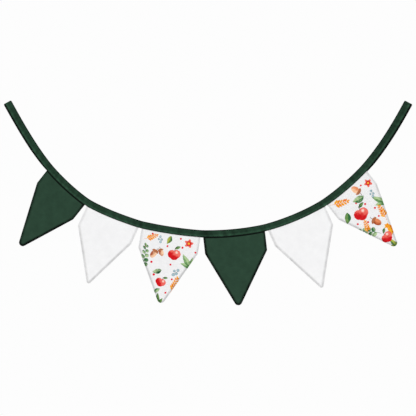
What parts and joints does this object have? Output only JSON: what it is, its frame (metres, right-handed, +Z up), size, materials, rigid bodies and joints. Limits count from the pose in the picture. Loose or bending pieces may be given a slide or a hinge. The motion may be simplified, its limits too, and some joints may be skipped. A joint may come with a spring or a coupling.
{
  "type": "fabric bunting",
  "caption": "Cloth bunting: turned house-shaped pennants in green, white and orchard print, sewn into a folded binding tape that hangs in a swag by its ends.",
  "frame": {"origin": "upper corner of the binding tape's left end, on its fold, seen from the front", "axes": "+Z up, +X along the swag to the right seen from the front, -Y out of the front face"},
  "size_m": [1.1441, 0.0076, 0.5731],
  "materials": {
    "tape_cotton": "matt plain-weave cotton, pressed and edge-stitched, dark green",
    "green_cotton": "matt plain-weave cotton, dark green",
    "white_cotton": "matt plain-weave cotton, white",
    "printed_cotton": "matt plain-weave cotton, white with a scattered orchard print in red, green and orange"
  },
  "bodies": {
    "root": {"binding_tape": "tape_cotton", "pennant_1_front": "green_cotton", "pennant_1_back": "green_cotton", "pennant_2_front": "white_cotton", "pennant_2_back": "white_cotton", "pennant_3_front": "printed_cotton", "pennant_3_back": "printed_cotton", "pennant_4_front": "green_cotton", "pennant_4_back": "green_cotton", "pennant_5_front": "white_cotton", "pennant_5_back": "white_cotton", "pennant_6_front": "printed_cotton", "pennant_6_back": "printed_cotton"}
  },
  "joints": []
}
